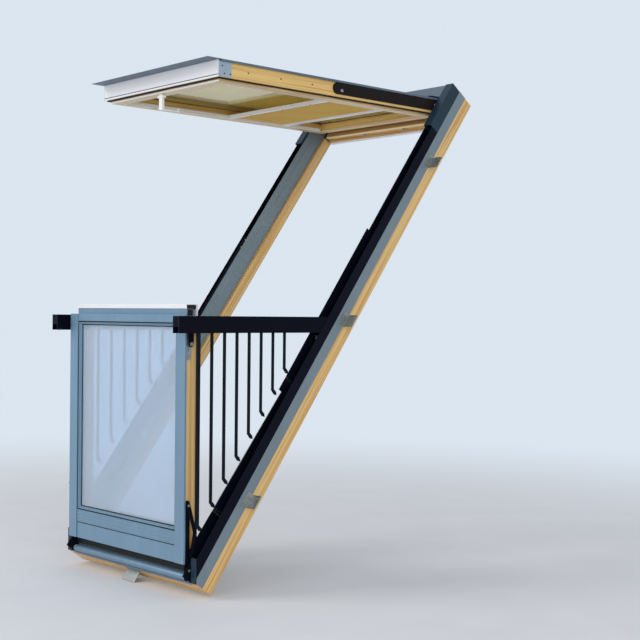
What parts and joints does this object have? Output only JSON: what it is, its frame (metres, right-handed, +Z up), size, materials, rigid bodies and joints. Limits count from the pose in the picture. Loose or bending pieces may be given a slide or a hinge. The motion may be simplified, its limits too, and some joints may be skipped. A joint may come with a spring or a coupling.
{
  "type": "roof window",
  "caption": "Two-part balcony roof window, open: upper sash level as a canopy with a blind, lower sash upright as a parapet with folding handrails, in a pine frame.",
  "frame": {"origin": "centre of the lower mounting bracket's foot, on the batten plane under the roof covering", "axes": "+X to the right seen from outside, +Y horizontally into the roof, +Z up; the roof rises at 54 degrees"},
  "size_m": [1.052, 1.6881, 2.2027],
  "materials": {
    "pine": "clear lacquer",
    "cladding": "matt lacquer",
    "frame_cladding": "matt lacquer",
    "black_metal": "satin paint",
    "black_aluminium": "satin paint",
    "end_cap": "matt",
    "white_metal": "matt paint",
    "white_plastic": "gloss",
    "bare_aluminium": "satin",
    "steel": "zinc",
    "glass": "clear",
    "rubber": "matt",
    "pleated_fabric": "pleated"
  },
  "bodies": {
    "frame": {"jambs": "pine", "sill": "pine", "head": "pine", "head_trim": "white_plastic", "jamb_claddings": "frame_cladding", "sill_cladding": "cladding", "head_casing": "frame_cladding", "rail_floors": "black_aluminium", "side_rails": "black_aluminium", "rail_end_caps": "end_cap", "mounting_brackets": "steel", "bracket_screws": "steel", "lower_hinge_brackets": "black_metal", "canopy_brackets": "black_metal"},
    "lower_sash": {"lower_stiles": "pine", "lower_rails": "pine", "lower_panes": "glass", "lower_spacer": "bare_aluminium", "lower_bead": "cladding", "lower_inner_frame": "pine", "lower_seals": "rubber", "lower_stile_covers": "cladding", "lower_rail_covers": "cladding", "meeting_rail": "cladding", "white_rail": "white_metal", "lower_hinge_arms": "black_metal", "handrail_pivots": "steel", "latch_seat": "bare_aluminium"},
    "railing": {"handrails": "black_aluminium", "railing_pins": "steel"},
    "stay_lower": {"stay_frame_links": "black_metal"},
    "stay_upper": {"stay_sash_links": "black_metal"},
    "upper_sash": {"upper_stiles": "pine", "upper_rails": "pine", "upper_panes": "glass", "upper_spacer": "bare_aluminium", "upper_bead": "cladding", "upper_inner_frame": "pine", "upper_seal": "rubber", "front_panel": "white_metal", "upper_corner_caps": "bare_aluminium", "upper_rail_covers": "cladding", "upper_stile_covers": "cladding", "canopy_arms": "black_metal", "upper_screws": "steel", "blind_headrail": "white_metal", "blind_guides": "white_plastic", "blind_fabric": "pleated_fabric"},
    "hood_leaf": {"hood": "frame_cladding"},
    "pull": {"pull_handle": "white_plastic"},
    "latch": {"latch_lever": "bare_aluminium"},
    "bar": {"blind_bar": "white_metal"},
    "baluster_1": {"baluster_pair_1": "black_metal"},
    "baluster_2": {"baluster_pair_2": "black_metal"},
    "baluster_3": {"baluster_pair_3": "black_metal"},
    "baluster_4": {"baluster_pair_4": "black_metal"},
    "baluster_5": {"baluster_pair_5": "black_metal"},
    "baluster_6": {"baluster_pair_6": "black_metal"},
    "baluster_7": {"baluster_pair_7": "black_metal"},
    "baluster_8": {"baluster_pair_8": "black_metal"}
  },
  "joints": [
    {"name": "lower_sash_hinge", "type": "hinge", "parent": "frame", "child": "lower_sash", "pos_m": [0, -0.02271, 0.05976], "axis": [-1, 0, 0], "range_deg": [0, 36]},
    {"name": "railing_hinge", "type": "hinge", "parent": "lower_sash", "child": "railing", "pos_m": [0, -0.02271, 0.97476], "axis": [1, 0, 0], "range_deg": [0, 90]},
    {"name": "stay_lower_hinge", "type": "hinge", "parent": "frame", "child": "stay_lower", "pos_m": [0, -0.02136, 0.08969], "axis": [-1, 0, 0], "range_deg": [0, 33.8]},
    {"name": "stay_upper_hinge", "type": "hinge", "parent": "lower_sash", "child": "stay_upper", "pos_m": [0, -0.02921, 0.34476], "axis": [-1, 0, 0], "range_deg": [0, 11.8]},
    {"name": "upper_sash_hinge", "type": "hinge", "parent": "frame", "child": "upper_sash", "pos_m": [0, 1.48461, 2.02637], "axis": [1, 0, 0], "range_deg": [0, 54]},
    {"name": "hood_hinge", "type": "hinge", "parent": "frame", "child": "hood_leaf", "pos_m": [0, 1.41884, 2.11619], "axis": [1, 0, 0], "range_deg": [0, 54]},
    {"name": "pull_turn", "type": "hinge", "parent": "upper_sash", "child": "pull", "pos_m": [-0.026, 0.15161, 2.02737], "axis": [0, 0, 1], "range_deg": [0, 90]},
    {"name": "latch_turn", "type": "hinge", "parent": "lower_sash", "child": "latch", "pos_m": [0, 0.04779, 1.05376], "axis": [0, 1, 0], "range_deg": [0, 90]},
    {"name": "blind_slide", "type": "slide", "parent": "upper_sash", "child": "bar", "axis": [0, 1, 0], "range_m": [-0.54, 0.3], "deforming": ["blind_fabric"]},
    {"name": "baluster_1_hinge", "type": "hinge", "parent": "railing", "child": "baluster_1", "pos_m": [0, -0.00871, 1.02976], "axis": [-1, 0, 0], "range_deg": [0, 90]},
    {"name": "baluster_2_hinge", "type": "hinge", "parent": "railing", "child": "baluster_2", "pos_m": [0, 0.05799, 1.02976], "axis": [-1, 0, 0], "range_deg": [0, 90]},
    {"name": "baluster_3_hinge", "type": "hinge", "parent": "railing", "child": "baluster_3", "pos_m": [0, 0.12469, 1.02976], "axis": [-1, 0, 0], "range_deg": [0, 90]},
    {"name": "baluster_4_hinge", "type": "hinge", "parent": "railing", "child": "baluster_4", "pos_m": [0, 0.19139, 1.02976], "axis": [-1, 0, 0], "range_deg": [0, 90]},
    {"name": "baluster_5_hinge", "type": "hinge", "parent": "railing", "child": "baluster_5", "pos_m": [0, 0.25809, 1.02976], "axis": [-1, 0, 0], "range_deg": [0, 90]},
    {"name": "baluster_6_hinge", "type": "hinge", "parent": "railing", "child": "baluster_6", "pos_m": [0, 0.32479, 1.02976], "axis": [-1, 0, 0], "range_deg": [0, 90]},
    {"name": "baluster_7_hinge", "type": "hinge", "parent": "railing", "child": "baluster_7", "pos_m": [0, 0.39149, 1.02976], "axis": [-1, 0, 0], "range_deg": [0, 90]},
    {"name": "baluster_8_hinge", "type": "hinge", "parent": "railing", "child": "baluster_8", "pos_m": [0, 0.45819, 1.02976], "axis": [-1, 0, 0], "range_deg": [0, 90]}
  ],
  "couplings": [
    {"joint": "railing_hinge", "follows": "lower_sash_hinge", "ratio": 2.5},
    {"joint": "stay_lower_hinge", "follows": "lower_sash_hinge", "ratio": 0.93888},
    {"joint": "stay_upper_hinge", "follows": "lower_sash_hinge", "ratio": 0.32777},
    {"joint": "hood_hinge", "follows": "upper_sash_hinge", "ratio": 1},
    {"joint": "baluster_1_hinge", "follows": "lower_sash_hinge", "ratio": 2.5},
    {"joint": "baluster_2_hinge", "follows": "lower_sash_hinge", "ratio": 2.5},
    {"joint": "baluster_3_hinge", "follows": "lower_sash_hinge", "ratio": 2.5},
    {"joint": "baluster_4_hinge", "follows": "lower_sash_hinge", "ratio": 2.5},
    {"joint": "baluster_5_hinge", "follows": "lower_sash_hinge", "ratio": 2.5},
    {"joint": "baluster_6_hinge", "follows": "lower_sash_hinge", "ratio": 2.5},
    {"joint": "baluster_7_hinge", "follows": "lower_sash_hinge", "ratio": 2.5},
    {"joint": "baluster_8_hinge", "follows": "lower_sash_hinge", "ratio": 2.5}
  ]
}
